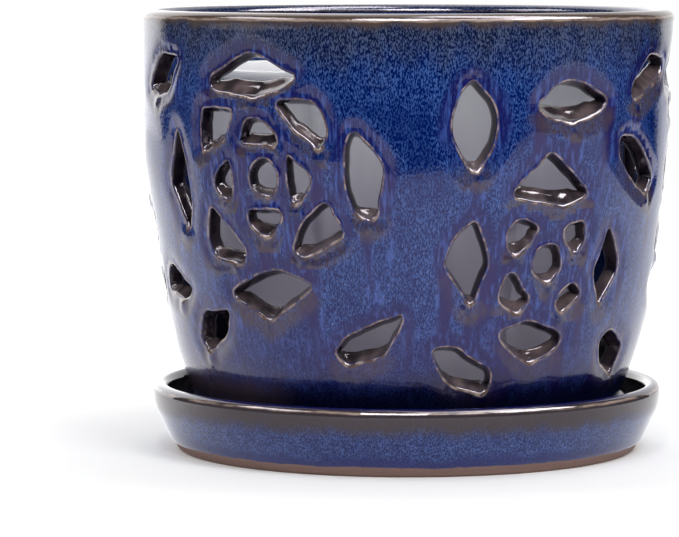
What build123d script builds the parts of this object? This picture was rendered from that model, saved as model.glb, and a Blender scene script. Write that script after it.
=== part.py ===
from build123d import *
import math
import os

# Orchid pot with slots: a thrown stoneware pot whose wall is cut through with six flowers of leaf,
# kite and drop shaped slots, so that air reaches the roots. It stands in its own drip saucer and
# holds a thin plastic growing pot.
# Millimetres, +Z up. The origin is on the ground under the pot's axis, and the front is towards -Y.

# Driving sizes of the pot
rim_diameter = 158.0
pot_foot_diameter = 114.0
pot_height = 124.8
pot_wall = 5.5
pot_floor = 6.0
pot_lip_rise = 2.6
pot_inside_corner = 5.0
foot_ring_width = 8.0
foot_ring_height = 3.0
drain_diameter = 20.0
foot_notch_width = 12.0
foot_notch_height = 2.2
foot_notch_count = 3

# Driving sizes of the saucer. Its width follows from the pot's foot: its own foot reaches out past
# that by a clearance, and its wall spreads from there.
saucer_foot_clearance = 10.0
saucer_spread = 8.5
saucer_height = 20.0
saucer_wall = 4.8
saucer_floor = 5.5
saucer_lip_rise = 2.3
saucer_inside_corner = 3.0
saucer_foot_ring_width = 9.0
saucer_hollow = 1.2

# Driving sizes of the growing pot inside. Its width follows from the pot's and two clearances: from
# its rim to the wall, and from its base to the line of the foot.
liner_height = 99.0
liner_rim_clearance = 8.5
liner_base_clearance = 10.0
liner_wall = 1.2
liner_rim_width = 2.4
liner_rim_height = 3.2
liner_rim_bevel = 0.6
liner_corner = 2.5
liner_rib_count = 6
liner_rib_width = 3.0
liner_rib_depth = 0.8
liner_first_rib_azimuth = -27.0
liner_middle_drain_diameter = 14.0
liner_drain_diameter = 8.0
liner_drain_count = 6

# The pierced pattern: a high and a low flower side by side, and this pair repeats round the wall
flower_pairs = 3
high_flower_azimuth = -31.0
low_flower_azimuth = 32.0
plain_azimuth = 3.0

lip_facets = 4
cut_overrun = 8.0

# The rings of the pot's wall: share of its height, and share of the way from the foot's radius to
# the rim's. The wall is straight from ring to ring.
pot_ring_shares = (
    (0.0, 0.0),
    (0.1, 0.31),
    (0.2, 0.535),
    (0.32, 0.7),
    (0.46, 0.835),
    (0.6, 0.945),
    (0.78, 1.0),
)

# The rings of the saucer's wall, in the same way
saucer_ring_shares = ((0.0, 0.0), (0.185, 0.43), (0.42, 0.68), (0.64, 0.92), (0.86, 1.0))

# The middles of the flowers, as shares of the pot's height
high_flower_height_share = 0.633
low_flower_height_share = 0.441

# The round eye of each flower: its place right and up from the flower's middle, its width and its
# height. All tables of the pattern hold shares of the flowers' pitch across and of the pot's
# height upwards.
high_eye_shares = (-0.01, 0.0, 0.112, 0.08)
low_eye_shares = (0.012, -0.001, 0.122, 0.08)

# The corners of each slot, right and up from the flower's middle
high_flower_shares = {
    "top kite": (
        (-0.055, 0.28),
        (0.125, 0.228),
        (0.087, 0.208),
        (-0.044, 0.177),
        (-0.236, 0.2),
        (-0.236, 0.223),
    ),
    "upper left petal": ((-0.284, 0.151), (-0.138, 0.147), (-0.178, 0.084), (-0.286, 0.052)),
    "upper right petal": (
        (0.06, 0.174),
        (0.207, 0.17),
        (0.24, 0.098),
        (0.214, 0.065),
        (0.107, 0.12),
        (0.051, 0.16),
    ),
    "top drop": ((-0.106, 0.078), (-0.086, 0.12), (-0.032, 0.135), (0.03, 0.107), (0.05, 0.075)),
    "left drop": ((-0.16, 0.04), (-0.15, -0.051), (-0.22, -0.042), (-0.24, -0.008)),
    "right drop": ((0.09, 0.052), (0.17, 0.009), (0.175, -0.016), (0.121, -0.058), (0.092, -0.037)),
    "left kite": ((-0.438, 0.101), (-0.505, -0.022), (-0.41, -0.134), (-0.367, -0.03)),
    "right leaf": (
        (0.318, 0.1),
        (0.345, 0.106),
        (0.438, 0.031),
        (0.41, -0.084),
        (0.336, -0.078),
        (0.301, -0.008),
    ),
    "bottom drop": ((-0.08, -0.075), (0.048, -0.076), (0.057, -0.097), (-0.012, -0.136), (-0.081, -0.111)),
    "lower left petal": (
        (-0.268, -0.073),
        (-0.126, -0.154),
        (-0.114, -0.182),
        (-0.14, -0.197),
        (-0.272, -0.188),
        (-0.293, -0.131),
    ),
    "lower right petal": ((0.235, -0.052), (0.29, -0.124), (0.16, -0.175), (0.103, -0.165), (0.13, -0.105)),
    "bottom kite": ((0.011, -0.21), (0.17, -0.241), (-0.026, -0.326), (-0.192, -0.27), (-0.136, -0.243)),
    "low leaf": (
        (0.505, -0.307),
        (0.475, -0.356),
        (0.422, -0.4),
        (0.278, -0.421),
        (0.242, -0.394),
        (0.325, -0.345),
    ),
}
low_flower_shares = {
    "top kite": (
        (-0.009, 0.249),
        (0.164, 0.156),
        (0.148, 0.142),
        (0.039, 0.129),
        (-0.145, 0.151),
        (-0.135, 0.17),
    ),
    "upper left drop": ((-0.157, 0.084), (-0.107, 0.1), (-0.037, 0.079), (-0.108, 0.02), (-0.155, 0.03)),
    "upper right drop": ((0.084, 0.079), (0.164, 0.087), (0.182, 0.054), (0.136, 0.013), (0.077, 0.061)),
    "left kite": ((-0.288, 0.101), (-0.232, 0.006), (-0.288, -0.091), (-0.398, 0.001), (-0.35, 0.066)),
    "right kite": ((0.306, 0.071), (0.395, -0.018), (0.3, -0.109), (0.247, -0.033)),
    "lower left drop": (
        (-0.138, -0.019),
        (-0.058, -0.081),
        (-0.096, -0.115),
        (-0.174, -0.089),
        (-0.175, -0.052),
    ),
    "lower right drop": ((0.151, -0.053), (0.186, -0.078), (0.105, -0.118), (0.068, -0.096), (0.094, -0.069)),
    "bottom kite": (
        (-0.035, -0.133),
        (0.114, -0.173),
        (0.094, -0.204),
        (-0.003, -0.23),
        (-0.119, -0.201),
        (-0.171, -0.159),
    ),
    "low right leaf": ((0.408, -0.17), (0.55, -0.215), (0.52, -0.281), (0.4, -0.25), (0.35, -0.2)),
    "low left leaf": (
        (-0.434, -0.196),
        (-0.352, -0.189),
        (-0.187, -0.252),
        (-0.203, -0.295),
        (-0.313, -0.287),
        (-0.402, -0.248),
    ),
    "high right leaf": (
        (0.521, 0.459),
        (0.66, 0.451),
        (0.65, 0.421),
        (0.441, 0.363),
        (0.385, 0.372),
        (0.4, 0.402),
    ),
    "top lens": (
        (-0.068, 0.353),
        (-0.003, 0.393),
        (0.062, 0.408),
        (0.153, 0.395),
        (0.238, 0.362),
        (0.183, 0.333),
        (0.09, 0.317),
        (-0.003, 0.326),
    ),
    "upper left leaf": (
        (-0.305, 0.415),
        (-0.247, 0.371),
        (-0.218, 0.328),
        (-0.239, 0.253),
        (-0.299, 0.21),
        (-0.364, 0.268),
        (-0.38, 0.316),
        (-0.351, 0.374),
    ),
}

# Cut freehand, the flowers beside the front pair differ from it in the slots that turn to the front.
right_side_high_shares = {
    "left kite": (
        (-0.626, 0.082),
        (-0.537, 0.085),
        (-0.371, -0.013),
        (-0.407, -0.052),
        (-0.538, -0.017),
        (-0.63, 0.043),
    ),
}
left_side_low_shares = {
    "right kite": ((0.329, -0.026), (0.5, -0.078), (0.427, -0.107), (0.25, -0.09), (0.26, -0.048)),
    "low right leaf": ((0.56, -0.129), (0.719, -0.122), (0.688, -0.177), (0.54, -0.222), (0.499, -0.2)),
    "high right leaf": ((0.38, 0.461), (0.526, 0.456), (0.451, 0.379), (0.36, 0.365), (0.28, 0.385)),
}

# Worked out from the driving sizes
full_turn = 360.0
quarter_turn = full_turn / 4
pair_turn = full_turn / flower_pairs
flower_turn = pair_turn / 2
pot_base_height = saucer_floor
pot_floor_height = pot_base_height + foot_ring_height + pot_floor
rim_height = pot_base_height + pot_height
liner_top_height = pot_floor_height + liner_height


def rings_of(shares, foot_radius, rim_radius, base_height, height):
    """The outside of a turned wall, ring by ring, as radius and height."""
    swell = rim_radius - foot_radius
    return [(foot_radius + out * swell, base_height + up * height) for up, out in shares]


def radius_at(rings, height):
    """The radius of a wall that runs straight from ring to ring."""
    for (low_radius, low), (high_radius, high) in zip(rings, rings[1:]):
        if height <= high:
            return low_radius + (high_radius - low_radius) * (height - low) / (high - low)
    return rings[-1][0]


saucer_foot_radius = pot_foot_diameter / 2 + saucer_foot_clearance
saucer_rim_radius = saucer_foot_radius + saucer_spread
pot_rings = rings_of(pot_ring_shares, pot_foot_diameter / 2, rim_diameter / 2, pot_base_height, pot_height)
saucer_rings = rings_of(saucer_ring_shares, saucer_foot_radius, saucer_rim_radius, 0, saucer_height)


def lip_outline(outer_radius, wall, top, rise):
    """Over a rounded lip in facets, from the outside of the wall to its inside."""
    angles = [math.pi * facet / lip_facets for facet in range(lip_facets + 1)]
    middle_radius = outer_radius - wall / 2
    return [(middle_radius + wall / 2 * math.cos(a), top - rise + rise * math.sin(a)) for a in angles]


def bowl_outline(rings, wall, top, lip_rise, floor, corner):
    """Half of a bowl's section: up its outside, over the lip and down to the floor inside."""
    inside = [(radius - wall, height) for radius, height in reversed(rings) if height > floor + corner]
    inside.append((radius_at(rings, floor + corner) - wall, floor + corner))
    inside.append((radius_at(rings, floor) - wall - corner, floor))
    return rings + lip_outline(rings[-1][0], wall, top, lip_rise) + inside


def turned(outline):
    """A solid turned round the axis, starting towards +X, from the corners of half its section."""
    return revolve(Plane.XZ * make_face(Polyline(*outline, close=True)), Axis.Z)


def spot(radius, azimuth, height):
    """A point round the axis. Azimuth is counted from the front towards +X."""
    angle = math.radians(azimuth)
    return (radius * math.sin(angle), -radius * math.cos(angle), height)


def facing_plane(radius, azimuth, height):
    """An upright plane square to the radius, with x to the right as seen from outside."""
    angle = math.radians(azimuth)
    return Plane(
        origin=spot(radius, azimuth, height),
        x_dir=(math.cos(angle), math.sin(angle), 0),
        z_dir=(math.sin(angle), -math.cos(angle), 0),
    )


def slot_cutter(outline, azimuth, height):
    """The air of one slot, which runs straight in through the wall."""
    plane = facing_plane(radius_at(pot_rings, height) + cut_overrun, azimuth, height)
    return extrude(plane * outline, -(pot_wall + 2 * cut_overrun))


def corner_cutter(shares, flower_azimuth, flower_height):
    """The cutter of a slot with corners, set at the middle of them."""
    azimuths = [flower_azimuth + right * flower_turn for right, _ in shares]
    heights = [flower_height + up * pot_height for _, up in shares]
    azimuth = sum(azimuths) / len(azimuths)
    height = sum(heights) / len(heights)
    radius = radius_at(pot_rings, height)
    across = [radius * math.sin(math.radians(corner - azimuth)) for corner in azimuths]
    upwards = [corner - height for corner in heights]
    return slot_cutter(make_face(Polyline(*zip(across, upwards), close=True)), azimuth, height)


def eye_cutter(shares, flower_azimuth, flower_height):
    """The cutter of a flower's round eye."""
    right, up, width_share, height_share = shares
    azimuth = flower_azimuth + right * flower_turn
    height = flower_height + up * pot_height
    half_width = radius_at(pot_rings, height) * math.sin(math.radians(width_share * flower_turn / 2))
    return slot_cutter(Ellipse(half_width, height_share * pot_height / 2), azimuth, height)


def flower_cutters():
    """The cutters of every slot round the wall, flower by flower."""
    cutters = []
    for pair in range(flower_pairs):
        high_slots = dict(high_flower_shares)
        low_slots = dict(low_flower_shares)
        if pair == 1:
            high_slots.update(right_side_high_shares)
        if pair == flower_pairs - 1:
            low_slots.update(left_side_low_shares)
        flowers = (
            (high_flower_azimuth, high_flower_height_share, high_eye_shares, high_slots),
            (low_flower_azimuth, low_flower_height_share, low_eye_shares, low_slots),
        )
        for first_azimuth, middle_share, eye_shares, slots in flowers:
            azimuth = first_azimuth + pair * pair_turn
            height = pot_base_height + middle_share * pot_height
            cutters.append(eye_cutter(eye_shares, azimuth, height))
            cutters.extend(corner_cutter(shares, azimuth, height) for shares in slots.values())
    return cutters


def make_pot():
    """The thrown pot: wall, rounded lip, floor, notched foot ring, drain hole and pierced flowers."""
    ring_inner_radius = pot_foot_diameter / 2 - foot_ring_width
    under_floor_height = pot_base_height + foot_ring_height
    underside = [
        (drain_diameter / 2, pot_floor_height),
        (drain_diameter / 2, under_floor_height),
        (ring_inner_radius, under_floor_height),
        (ring_inner_radius, pot_base_height),
    ]
    wall = bowl_outline(pot_rings, pot_wall, rim_height, pot_lip_rise, pot_floor_height, pot_inside_corner)
    # The turning starts where no slot crosses it, so that every slot cuts an unbroken surface.
    pot = Rot(0, 0, plain_azimuth - quarter_turn) * turned(underside + wall)
    notch = Box(foot_notch_width, foot_ring_width + cut_overrun, 2 * foot_notch_height)
    notch_radius = pot_foot_diameter / 2 - foot_ring_width / 2
    for index in range(foot_notch_count):
        azimuth = index * full_turn / foot_notch_count
        pot -= Pos(*spot(notch_radius, azimuth, pot_base_height)) * Rot(0, 0, azimuth) * notch
    return pot - flower_cutters()


def make_saucer():
    """The drip saucer: a low bowl with a rounded lip, a flat floor inside and a shallow foot ring."""
    ring_inner_radius = saucer_foot_radius - saucer_foot_ring_width
    underside = [
        (0, saucer_floor),
        (0, saucer_hollow),
        (ring_inner_radius, saucer_hollow),
        (ring_inner_radius, 0),
    ]
    wall = bowl_outline(
        saucer_rings, saucer_wall, saucer_height, saucer_lip_rise, saucer_floor, saucer_inside_corner
    )
    return turned(underside + wall)


def liner_rib(low, low_radius, high, high_radius):
    """One upright rib, towards the front, from inside the liner's wall to the rib's full depth."""
    sunk = liner_wall / 2
    outline = Polyline(
        (-low_radius + sunk, low),
        (-low_radius - liner_rib_depth, low),
        (-high_radius - liner_rib_depth, high),
        (-high_radius + sunk, high),
        close=True,
    )
    return extrude(Plane.YZ * make_face(outline), liner_rib_width / 2, both=True)


def make_liner():
    """The growing pot: a thin tapered cup with a rim band, upright ribs and drain holes."""
    base_height = pot_floor_height
    base_radius = pot_foot_diameter / 2 - liner_base_clearance
    rim_radius = rim_diameter / 2 - pot_wall - liner_rim_clearance
    neck_radius = rim_radius - liner_rim_width
    neck_height = liner_top_height - liner_rim_height
    corner_height = base_height + liner_corner
    lean = (neck_radius - base_radius) / (neck_height - corner_height)
    liner = turned([
        (0, base_height),
        (base_radius - liner_corner, base_height),
        (base_radius, corner_height),
        (neck_radius, neck_height),
        (rim_radius, neck_height),
        (rim_radius, liner_top_height - liner_rim_bevel),
        (rim_radius - liner_rim_bevel, liner_top_height),
        (neck_radius - liner_wall + lean * liner_rim_height, liner_top_height),
        (base_radius - liner_wall, corner_height),
        (base_radius - liner_corner, base_height + liner_wall),
        (0, base_height + liner_wall),
    ])
    rib = liner_rib(corner_height, base_radius, neck_height, neck_radius)
    for index in range(liner_rib_count):
        liner += Rot(0, 0, liner_first_rib_azimuth + index * full_turn / liner_rib_count) * rib
    hole_height = base_height + liner_wall / 2
    liner -= Pos(0, 0, hole_height) * Cylinder(liner_middle_drain_diameter / 2, cut_overrun)
    hole = Cylinder(liner_drain_diameter / 2, cut_overrun)
    hole_ring_radius = base_radius - liner_corner - liner_drain_diameter
    for index in range(liner_drain_count):
        azimuth = liner_first_rib_azimuth + (index + 1 / 2) * full_turn / liner_drain_count
        liner -= Pos(*spot(hole_ring_radius, azimuth, hole_height)) * hole
    return liner


def main():
    os.makedirs("parts", exist_ok=True)
    export_step(make_saucer(), "parts/saucer.step")
    export_step(make_pot(), "parts/pot.step")
    export_step(make_liner(), "parts/inner_liner.step")


if __name__ == "__main__":
    main()
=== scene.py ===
# %% [markdown]
# # An orchid pot with slots
# The real object is a thrown stoneware pot whose wall is cut through with flowers of leaf, kite and
# drop shaped slots. It stands in a drip saucer, and a thin pale growing pot stands inside it.
# This lesson rebuilds it in Blender: first the wall with its slots, then saucer and growing pot, then
# the cobalt glaze, and last the studio. Lengths are written in millimetres and turned into metres.

import math
import random
from functools import partial

import bmesh
import bpy
import numpy as np
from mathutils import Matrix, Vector
from mathutils.geometry import delaunay_2d_cdt
from mathutils.kdtree import KDTree


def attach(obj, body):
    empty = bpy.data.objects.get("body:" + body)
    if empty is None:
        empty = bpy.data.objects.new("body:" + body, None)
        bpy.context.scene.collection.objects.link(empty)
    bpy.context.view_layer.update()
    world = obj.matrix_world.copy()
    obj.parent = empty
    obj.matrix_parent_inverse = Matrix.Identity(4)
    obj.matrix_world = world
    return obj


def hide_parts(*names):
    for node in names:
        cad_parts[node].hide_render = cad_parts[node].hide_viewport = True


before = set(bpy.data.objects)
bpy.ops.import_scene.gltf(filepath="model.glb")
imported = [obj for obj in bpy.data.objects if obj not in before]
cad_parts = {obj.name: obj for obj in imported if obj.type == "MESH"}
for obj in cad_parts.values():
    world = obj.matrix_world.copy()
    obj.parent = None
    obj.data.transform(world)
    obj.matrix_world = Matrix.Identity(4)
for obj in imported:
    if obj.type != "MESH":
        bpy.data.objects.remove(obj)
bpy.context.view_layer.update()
MM = 0.001

# %% [markdown]
# ## The thrown wall
# A potter's wall is one smooth curve turned round an axis. We know its radius at a few heights and
# draw a smooth curve through them, one whose bends never overshoot, so that no bump appears between
# two of the known places.

# %% The wall's curve
POT_BASE = 5.5
FLOOR_TOP = 14.5
RIM_TOP = 130.3
WALL = 5.5
LIP_RISE = 2.6
WALL_POINTS = (  # height and radius
    (5.5, 57.0), (10.0, 59.6), (17.7, 63.8), (26.1, 67.2), (35.1, 70.1), (44.1, 72.3), (53.1, 74.0),
    (62.0, 75.3), (70.9, 76.6), (79.8, 77.8), (88.7, 78.6), (97.6, 78.95), (108.0, 79.0), (130.3, 79.0),
)


def smooth_curve(points):
    """A function that runs smoothly through the points without overshooting."""
    xs, ys = np.array(points, float).T
    steps = np.diff(ys) / np.diff(xs)
    slopes = np.zeros_like(ys)
    slopes[0], slopes[-1] = steps[0], steps[-1]
    for i in range(1, len(xs) - 1):
        if steps[i - 1] * steps[i] > 0:
            slopes[i] = 2 * steps[i - 1] * steps[i] / (steps[i - 1] + steps[i])

    def value(x):
        x = np.clip(np.asarray(x, float), xs[0], xs[-1])
        i = np.clip(np.searchsorted(xs, x) - 1, 0, len(xs) - 2)
        h = xs[i + 1] - xs[i]
        t = (x - xs[i]) / h
        low = (1 + 2 * t) * (1 - t) ** 2 * ys[i] + t * (1 - t) ** 2 * h * slopes[i]
        high = t * t * (3 - 2 * t) * ys[i + 1] + t * t * (t - 1) * h * slopes[i + 1]
        return low + high

    return value


wall_radius = smooth_curve(WALL_POINTS)
print("radius at mid height:", round(float(wall_radius(68.0)), 2), "mm")

# %% [markdown]
# ## The pierced flowers
# The slots are cut freehand, so there is no rule to draw them by. Each is a short list of corners,
# measured from the middle of its flower: the first number is in thousandths of a sixth of the way
# round, the second in thousandths of the pot's height. Two flowers, a high and a low one, repeat
# three times. The two that the camera sees nearly edge on differ in a few slots, which are listed by
# themselves: they follow the photo and keep clear of the pot's outline.

# %% The corners of the slots
PITCH = math.radians(60)
POT_HEIGHT = 124.8
PAIRS = 3
HIGH_EYE = (-0.01, 0.0, 0.112, 0.08)
LOW_EYE = (0.012, -0.001, 0.122, 0.08)  # right, up, width and height, in shares
HIGH_FLOWER = {
    "top kite": ((-55, 280), (125, 228), (87, 208), (-44, 177), (-236, 200), (-236, 223)),
    "upper left petal": ((-284, 151), (-138, 147), (-178, 84), (-286, 52)),
    "upper right petal": ((60, 174), (207, 170), (240, 98), (214, 65), (107, 120), (51, 160)),
    "top drop": ((-106, 78), (-86, 120), (-32, 135), (30, 107), (50, 75)),
    "left drop": ((-160, 40), (-150, -51), (-220, -42), (-240, -8)),
    "right drop": ((90, 52), (170, 9), (175, -16), (121, -58), (92, -37)),
    "left kite": ((-438, 101), (-505, -22), (-410, -134), (-367, -30)),
    "right leaf": ((318, 100), (345, 106), (438, 31), (410, -84), (336, -78), (301, -8)),
    "bottom drop": ((-80, -75), (48, -76), (57, -97), (-12, -136), (-81, -111)),
    "lower left petal": ((-268, -73), (-126, -154), (-114, -182), (-140, -197), (-272, -188), (-293, -131)),
    "lower right petal": ((235, -52), (290, -124), (160, -175), (103, -165), (130, -105)),
    "bottom kite": ((11, -210), (170, -241), (-26, -326), (-192, -270), (-136, -243)),
    "low leaf": ((505, -307), (475, -356), (422, -400), (278, -421), (242, -394), (325, -345)),
}
LOW_FLOWER = {
    "top kite": ((-9, 249), (164, 156), (148, 142), (39, 129), (-145, 151), (-135, 170)),
    "upper left drop": ((-157, 84), (-107, 100), (-37, 79), (-108, 20), (-155, 30)),
    "upper right drop": ((84, 79), (164, 87), (182, 54), (136, 13), (77, 61)),
    "left kite": ((-288, 101), (-232, 6), (-288, -91), (-398, 1), (-350, 66)),
    "right kite": ((306, 71), (395, -18), (300, -109), (247, -33)),
    "lower left drop": ((-138, -19), (-58, -81), (-96, -115), (-174, -89), (-175, -52)),
    "lower right drop": ((151, -53), (186, -78), (105, -118), (68, -96), (94, -69)),
    "bottom kite": ((-35, -133), (114, -173), (94, -204), (-3, -230), (-119, -201), (-171, -159)),
    "low right leaf": ((408, -170), (550, -215), (520, -281), (400, -250), (350, -200)),
    "low left leaf": ((-434, -196), (-352, -189), (-187, -252), (-203, -295), (-313, -287), (-402, -248)),
    "high right leaf": ((521, 459), (660, 451), (650, 421), (441, 363), (385, 372), (400, 402)),
    "top lens": ((-68, 353), (-3, 393), (62, 408), (153, 395), (238, 362), (183, 333), (90, 317),
                 (-3, 326)),
    "upper left leaf": ((-305, 415), (-247, 371), (-218, 328), (-239, 253), (-299, 210), (-364, 268),
                        (-380, 316), (-351, 374)),
}
RIGHT_SIDE_HIGH = {
    "left kite": ((-626, 82), (-537, 85), (-371, -13), (-407, -52), (-538, -17), (-630, 43)),
    "upper left petal": ((-142, 168), (-100, 162), (-120, 135), (-142, 120)),
    "left drop": ((-135, 30), (-105, 0), (-130, -45), (-142, -20)),
    "lower left petal": ((-138, -120), (-115, -154), (-100, -182), (-125, -197), (-142, -188),
                         (-142, -140)),
}
LEFT_SIDE_LOW = {
    "right kite": ((329, -26), (500, -78), (427, -107), (250, -90), (260, -48)),
    "low right leaf": ((560, -129), (719, -122), (688, -177), (540, -222), (499, -200)),
    "high right leaf": ((380, 461), (526, 456), (451, 379), (360, 365), (280, 385)),
    "top lens": ((-168, 353), (-103, 393), (-38, 408), (53, 395), (138, 362), (83, 333), (-10, 317),
                 (-103, 326)),
    "top kite": ((-30, 249), (90, 165), (80, 142), (10, 129), (-145, 151), (-135, 170)),
    "upper right drop": ((64, 79), (105, 87), (112, 54), (100, 25), (60, 61)),
    "lower right drop": ((121, -53), (140, -78), (95, -118), (58, -96), (74, -69)),
}

# %% Every slot's corners in azimuth and height
EYE_CORNERS = 12
HIGH_PLACE = (-31, 0.633)
LOW_PLACE = (32, 0.441)


def eye_corners(eye):
    """Corners on the oval eye of a flower."""
    right, up, width, height = eye
    turns = [math.tau * k / EYE_CORNERS for k in range(EYE_CORNERS)]
    return [(right + width / 2 * math.cos(t), up + height / 2 * math.sin(t)) for t in turns]


def in_shares(flower):
    """The flower's slots with their corners in shares instead of thousandths."""
    return {name: [(x / 1000, y / 1000) for x, y in corners] for name, corners in flower.items()}


slots = []
flowers = []
for pair in range(PAIRS):
    high = dict(in_shares(HIGH_FLOWER), eye=eye_corners(HIGH_EYE))
    low = dict(in_shares(LOW_FLOWER), eye=eye_corners(LOW_EYE))
    if pair == 1:
        high.update(in_shares(RIGHT_SIDE_HIGH))
    if pair == PAIRS - 1:
        low.update(in_shares(LEFT_SIDE_LOW))
    for (middle, share), flower in ((HIGH_PLACE, high), (LOW_PLACE, low)):
        flowers.append((math.radians(middle) + 2 * pair * PITCH, POT_BASE + share * POT_HEIGHT))
        for name, corners in flower.items():
            azimuths = [math.radians(middle) + (2 * pair + x) * PITCH for x, _ in corners]
            heights = [POT_BASE + (share + y) * POT_HEIGHT for _, y in corners]
            slots.append((name, azimuths, heights))
print("slots:", len(slots))

# %% [markdown]
# ## From corners to cut edges
# A knife leaves sharp corners, but firing rounds them, because the glaze gathers there. So each
# corner becomes a short curve: a tight one where the corner is sharp, a long one where two sides
# meet at a shallow angle, which turns a row of corners into the curved side of a leaf. The lowest
# corner is always well rounded, because glaze hangs in it. A slow waver of a tenth or two of a
# millimetre along the edge shows that a hand held the knife.

# %% Rounded outlines
EDGE_STEP = 0.95
CORNER_CUTS = ((1.9, 1.5), (2.5, 3.0), (3.2, 9.0))  # up to this angle, this much is rounded
LOWEST_CUT = 2.2
LARGEST_SHARE = 0.48
CORNER_STEPS = 7
FEWEST_POINTS = 14
WAVER = 0.16


def outward(loop):
    """The direction away from the slot's air at each point of a counterclockwise loop."""
    along = np.roll(loop, -1, axis=0) - np.roll(loop, 1, axis=0)
    normal = np.stack([along[:, 1], -along[:, 0]], axis=1)
    return normal / np.hypot(*normal.T)[:, None]


def rounded(corners):
    """Points about EDGE_STEP apart along the outline, with its corners rounded."""
    points = []
    count = len(corners)
    lowest = min(range(count), key=lambda k: corners[k][1])
    for k in range(count):
        before, here, after = (np.array(corners[(k + j) % count], float) for j in (-1, 0, 1))
        back, on = before - here, after - here
        back_length, on_length = np.hypot(*back), np.hypot(*on)
        bend = math.acos(np.clip(back @ on / (back_length * on_length), -1, 1))
        cut = next(length for widest, length in CORNER_CUTS if bend < widest)
        if k == lowest:
            cut = max(cut, LOWEST_CUT)
        start = here + back / back_length * min(cut, back_length * LARGEST_SHARE)
        end = here + on / on_length * min(cut, on_length * LARGEST_SHARE)
        for t in np.linspace(0, 1, CORNER_STEPS):
            points.append((1 - t) ** 2 * start + 2 * t * (1 - t) * here + t * t * end)
    loop = np.array(points + [points[0]])
    along = np.concatenate([[0], np.cumsum(np.hypot(*np.diff(loop, axis=0).T))])
    steps = max(FEWEST_POINTS, round(along[-1] / EDGE_STEP))
    wanted = np.linspace(0, along[-1], steps, endpoint=False)
    result = np.stack([np.interp(wanted, along, loop[:, axis]) for axis in (0, 1)], axis=1)
    turn = wanted / along[-1] * math.tau
    start = corners[0][1]
    waver = np.sin(3 * turn + start) + 0.6 * np.sin(5 * turn + 2 * start)
    waver += 0.35 * np.sin(9 * turn - start)
    return result + WAVER * waver[:, None] * outward(result)


outlines = []
for name, azimuths, heights in slots:
    middle = sum(azimuths) / len(azimuths)
    reach = float(wall_radius(sum(heights) / len(heights)))
    corners = [(reach * math.sin(a - middle), h) for a, h in zip(azimuths, heights)]
    area = sum(a[0] * b[1] - b[0] * a[1] for a, b in zip(corners, corners[1:] + corners[:1]))
    loop = rounded(corners if area > 0 else corners[::-1])
    outlines.append({"name": name, "middle": middle, "loop": loop, "normal": outward(loop)})
edge_points = sum(len(outline["loop"]) for outline in outlines)
print("points round all slots:", edge_points)

# %% [markdown]
# ## Dents, pools and beads
# Four kinds of relief come from the making. The potter smooths the clay round every slot with a wet
# finger, which dents it by a few tenths of a millimetre, and the cutting presses in the wall round a
# whole flower, in a broad shallow dent. Both bend the reflections into bands. The glaze runs down and
# gathers in a pool under each slot, and in a bead at its low corner. Pools and beads stand out of the
# wall, so they are kept inside the solids' box, and close to the wall at both sides.

# %% Relief of the outer face
FLAT_RADIUS = 77.0
EDGE_ROUND = 1.1
LOW_ROUND = 0.6
CORNER_ROUND = 1.0
CORNER_WIDTH = 1.7
DENT_DEPTH = 0.6
DENT_WIDTH = 5.6
FLOWER_DENT = 1.3
FLOWER_WIDTH = 33.0
POOL_HEIGHT = 0.22
POOL_DROP = 3.4
POOL_WIDTH = 1.9
BEAD_HEIGHT = 0.95
BEAD_WIDTH = 1.9
BEAD_STRETCH = 1.15
BEAD_DROP = 0.4
BEAD_SIZES = (0.6, 1.25)
WIDEST = 78.99
CALM = 0.2
SEAM = math.radians(3)


def on_flat(azimuth, height):
    """The wall laid flat: distance round it from the seam, and height."""
    return np.stack([((azimuth - SEAM) % math.tau) * FLAT_RADIUS, height], axis=-1)


beads = []
edge_sides = []
edge_tree = KDTree(3 * edge_points)
girth = math.tau * FLAT_RADIUS
for outline in outlines:
    lowest = outline["loop"][np.argmin(outline["loop"][:, 1]), 0]
    down = np.clip(-outline["normal"][:, 1], 0, 1) ** 2
    corner = np.exp(-((outline["loop"][:, 0] - lowest) / CORNER_WIDTH) ** 2)
    outline["round"] = (EDGE_ROUND + (LOW_ROUND + CORNER_ROUND * corner) * down)[:, None]
    brim = outline["loop"] + outline["round"] * outline["normal"]
    azimuth = outline["middle"] + np.arcsin(brim[:, 0] / wall_radius(brim[:, 1]))
    outline["brim"] = on_flat(azimuth, brim[:, 1])
    for (x, z), side in zip(outline["brim"], outline["normal"][:, 1]):
        for shift in (-girth, 0, girth):
            edge_tree.insert((x + shift, z, 0), len(edge_sides))
        edge_sides.append(side)
    low = outline["brim"][np.argmin(outline["brim"][:, 1])]
    beads.append((low[0], low[1] - BEAD_DROP, random.Random(len(beads)).uniform(*BEAD_SIZES)))
edge_tree.balance()
beads = np.array(beads)


def across_from(flat, x):
    """The way round the wall from x to each place, the shorter way, positive to the right."""
    return (flat[:, 0] - x + girth / 2) % girth - girth / 2


def slot_distance(flat):
    """How far each place is from the nearest slot, and whether it lies above it (1) or below (-1)."""
    found = [edge_tree.find((x, z, 0)) for x, z in flat]
    return np.array([hit[2] for hit in found]), np.array([edge_sides[hit[1]] for hit in found])


def bead_shape(flat):
    """How strongly a bead of glaze stands at each place: 1 on top of a bead of the usual size."""
    bead = np.zeros(len(flat))
    for bead_x, bead_z, size in beads:
        width = BEAD_WIDTH * size
        near = (across_from(flat, bead_x) / (width * BEAD_STRETCH)) ** 2
        near += ((flat[:, 1] - bead_z) / width) ** 2
        bead = np.maximum(bead, size * np.exp(-near))
    return bead


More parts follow.
